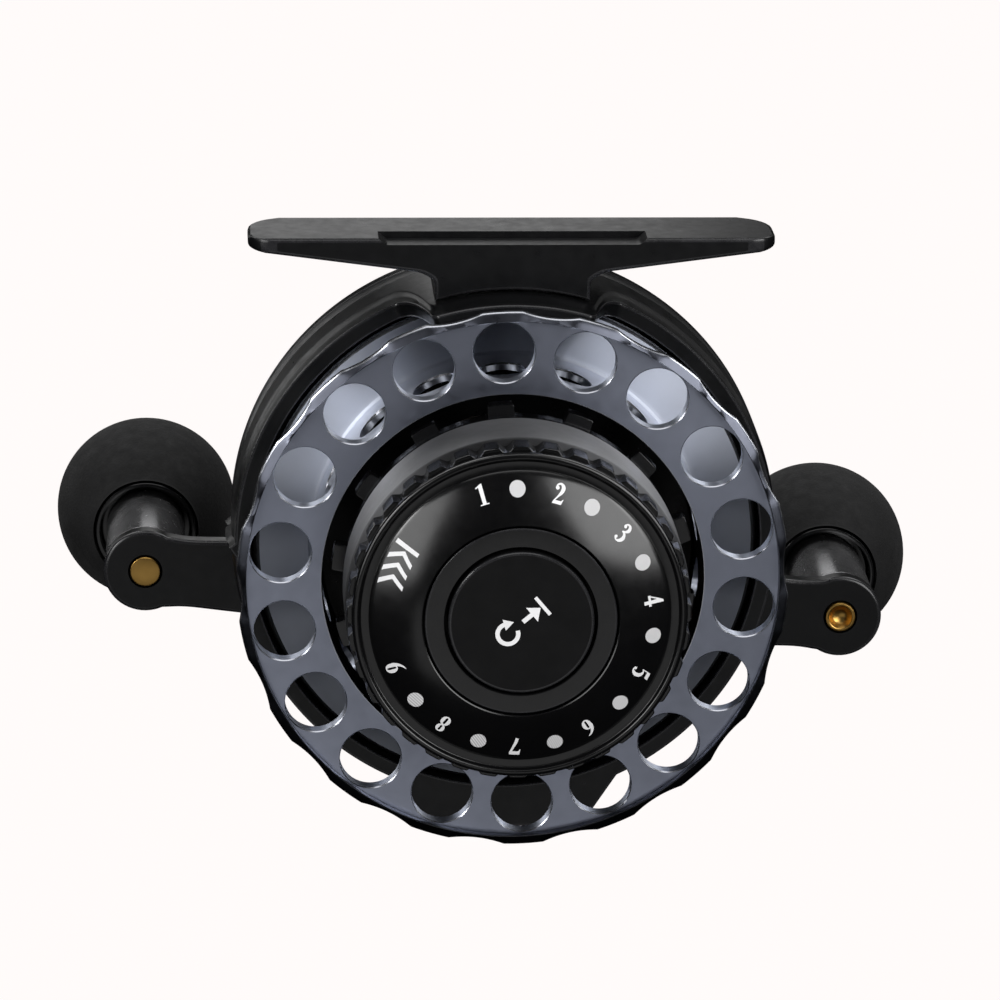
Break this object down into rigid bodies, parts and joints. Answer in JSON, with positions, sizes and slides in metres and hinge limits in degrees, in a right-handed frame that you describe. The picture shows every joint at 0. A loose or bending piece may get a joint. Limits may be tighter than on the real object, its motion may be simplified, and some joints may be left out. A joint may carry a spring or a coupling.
{
  "type": "fly reel",
  "caption": "Geared fly reel with a perforated scalloped spool, a numbered brake dial with a reset button, a long rod foot and a double handle with round foam knobs.",
  "frame": {"origin": "middle of the foot's flat top face, where it sits against the rod", "axes": "+Z out of the foot's top face towards the rod, +Y along the spool axis from the brake dial to the handle, +X along the foot, to the right when facing the dial"},
  "size_m": [0.1104, 0.0991, 0.0761],
  "materials": {
    "black_anodised": "satin black anodised",
    "black_gloss": "gloss black anodised",
    "grey_anodised": "fine-grained blue-grey anodised with polished edges",
    "satin_metal": "satin turned",
    "steel": "ground",
    "brass": "turned",
    "foam": "matte closed-cell foam",
    "friction_fibre": "matte pressed fibre"
  },
  "bodies": {
    "reel": {"frame": "black_anodised", "rear_cover": "black_anodised", "cover_screw_1": "steel", "cover_screw_2": "steel", "cover_screw_3": "steel", "spindle_screw": "steel", "foot": "black_anodised", "foot_screw_1": "steel", "foot_screw_2": "steel", "spindle": "steel", "shaft_bearing_front": "steel", "shaft_bearing_rear": "steel", "brake_drum": "satin_metal", "pressure_plate": "steel", "brake_plate": "steel", "backing_plate": "steel"},
    "spool": {"spool": "grey_anodised", "spool_bearing_front": "steel", "spool_bearing_rear": "steel", "pinion": "steel", "lug_ring": "black_anodised", "friction_disc_front": "friction_fibre", "friction_disc_rear": "friction_fibre"},
    "dial": {"dial_cap": "black_gloss", "grip_ring": "black_anodised", "button_guide": "black_anodised", "dial_hub": "brass", "dial_spring": "steel", "button_spring": "steel"},
    "button": {"reset_button": "black_anodised"},
    "handle": {"handle_arm": "black_anodised", "handle_shaft": "steel", "handle_washer": "steel", "handle_nut": "brass", "drive_gear": "brass", "knob_pin_left": "brass", "knob_pin_right": "brass", "knob_cap_left": "satin_metal", "knob_cap_right": "satin_metal"},
    "knob_left": {"knob_collar_left": "satin_metal", "knob_cup_left": "black_gloss", "knob_grip_left": "foam"},
    "knob_right": {"knob_collar_right": "satin_metal", "knob_cup_right": "black_gloss", "knob_grip_right": "foam"}
  },
  "joints": [
    {"name": "spool_spin", "type": "hinge", "parent": "reel", "child": "spool", "pos_m": [0, -0.0134, -0.0396], "axis": [0, 1, 0], "continuous": true},
    {"name": "handle_spin", "type": "hinge", "parent": "reel", "child": "handle", "pos_m": [0, 0.0266, -0.0531], "axis": [0, 1, 0], "continuous": true},
    {"name": "knob_left_spin", "type": "hinge", "parent": "handle", "child": "knob_left", "pos_m": [-0.04369, 0.0286, -0.04993], "axis": [0, 1, 0], "continuous": true},
    {"name": "knob_right_spin", "type": "hinge", "parent": "handle", "child": "knob_right", "pos_m": [0.04369, 0.0286, -0.05627], "axis": [0, 1, 0], "continuous": true},
    {"name": "dial_turn", "type": "hinge", "parent": "reel", "child": "dial", "pos_m": [0, -0.0254, -0.0396], "axis": [0, 1, 0], "range_deg": [-247, 66]},
    {"name": "reset_press", "type": "slide", "parent": "dial", "child": "button", "axis": [0, 1, 0], "range_m": [0, 0.0012], "stiffness_N_per_m": 600, "springref_m": -0.001, "deforming": ["button_spring"]}
  ],
  "couplings": [
    {"joint": "handle_spin", "follows": "spool_spin", "ratio": -0.38462}
  ]
}
